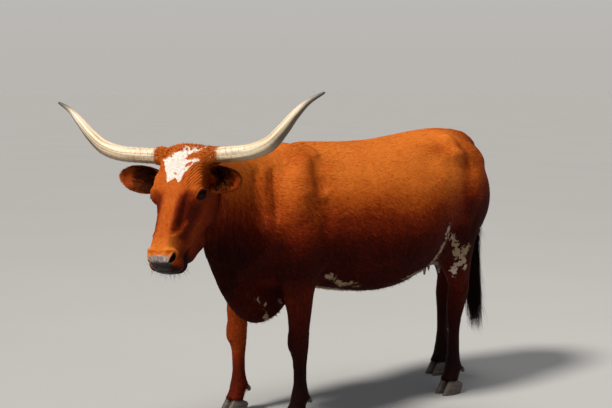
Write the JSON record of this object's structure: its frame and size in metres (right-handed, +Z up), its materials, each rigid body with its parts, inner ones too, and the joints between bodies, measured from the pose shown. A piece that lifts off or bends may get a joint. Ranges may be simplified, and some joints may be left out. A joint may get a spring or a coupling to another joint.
{
  "type": "longhorn cow",
  "caption": "Life-size standing Texas longhorn cow, head turned to its left, with long upswept horns, cloven feet and a hanging tail",
  "frame": {"origin": "middle of the model's box, on the ground", "axes": "the cow faces -X, its left side is -Y, up is +Z"},
  "size_m": [2.1816, 1.0482, 1.4871],
  "materials": {
    "red_hide": "short, glossy red-brown hair with white markings",
    "horn": "satin horn, cream with brown streaks and dark tips",
    "hoof": "dull dark hoof",
    "eye": "wet dark brown eye",
    "dark_hair": "long black-brown hair",
    "udder_skin": "soft bare skin"
  },
  "bodies": {
    "root": {"head": "red_hide", "neck": "red_hide", "torso": "red_hide", "front_leg_left": "red_hide", "front_leg_right": "red_hide", "hind_leg_left": "red_hide", "hind_leg_right": "red_hide", "ear_left": "red_hide", "ear_right": "red_hide", "tail": "red_hide", "horn_left": "horn", "horn_right": "horn", "claw_front_left_outer": "hoof", "claw_front_left_inner": "hoof", "claw_front_right_outer": "hoof", "claw_front_right_inner": "hoof", "claw_hind_left_outer": "hoof", "claw_hind_left_inner": "hoof", "claw_hind_right_outer": "hoof", "claw_hind_right_inner": "hoof", "dewclaw_front_left_outer": "hoof", "dewclaw_front_left_inner": "hoof", "dewclaw_front_right_outer": "hoof", "dewclaw_front_right_inner": "hoof", "dewclaw_hind_left_outer": "hoof", "dewclaw_hind_left_inner": "hoof", "dewclaw_hind_right_outer": "hoof", "dewclaw_hind_right_inner": "hoof", "eye_left": "eye", "eye_right": "eye", "tail_switch": "dark_hair", "udder": "udder_skin"}
  },
  "joints": []
}
